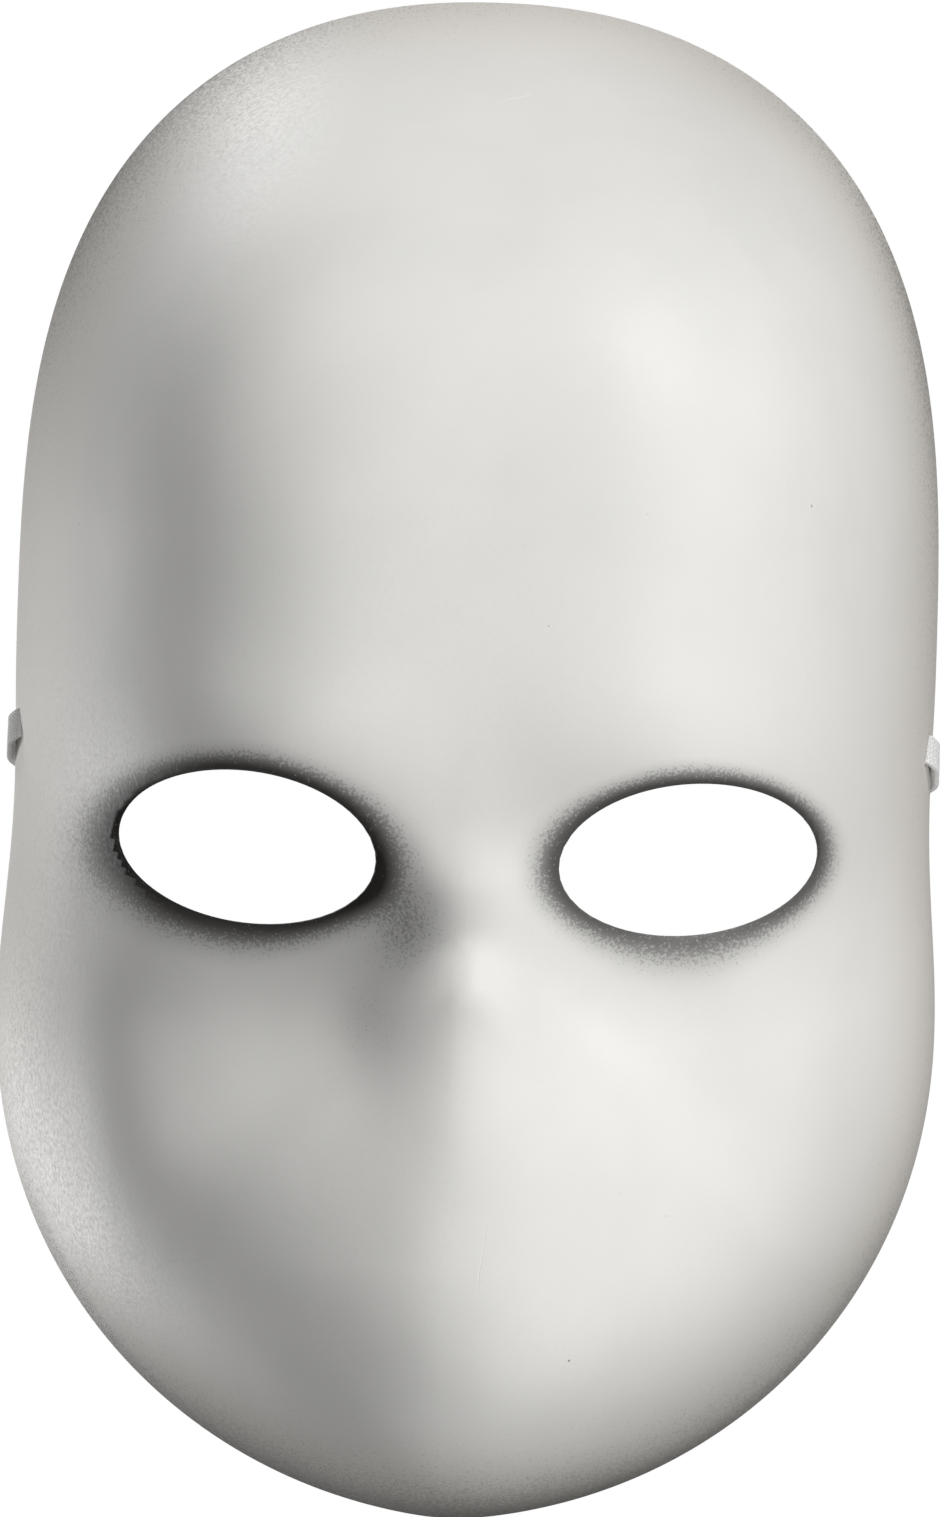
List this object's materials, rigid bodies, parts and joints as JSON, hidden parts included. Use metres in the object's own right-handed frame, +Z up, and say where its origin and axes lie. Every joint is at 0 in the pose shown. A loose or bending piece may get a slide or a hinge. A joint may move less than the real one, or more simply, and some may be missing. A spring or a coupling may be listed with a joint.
{
  "type": "full-face costume mask",
  "caption": "Thin white full-face costume mask with two oval eye openings, no mouth, airbrushed shading and an elastic head strap.",
  "frame": {"origin": "on the mask's midline in the plane of its rear edge, half-way between crown and chin, where the wearer's face comes in", "axes": "+Z up towards the forehead, -Y the way the face looks, +Y back towards the wearer's head, +X to the right seen from the front"},
  "size_m": [0.1672, 0.114, 0.2696],
  "materials": {
    "shell_plastic": "satin off-white with grey and black airbrushing",
    "elastic": "white braided elastic",
    "staple_wire": "bright zinc-plated wire"
  },
  "bodies": {
    "mask": {"mask_shell": "shell_plastic", "strap_end_left": "elastic", "strap_end_right": "elastic", "staple_left": "staple_wire", "staple_right": "staple_wire"},
    "strap": {"strap_span": "elastic"}
  },
  "joints": [
    {"name": "strap_swing", "type": "hinge", "parent": "mask", "child": "strap", "pos_m": [0, 0.013, -0.0067], "axis": [1, 0, 0], "range_deg": [0, 90]}
  ]
}
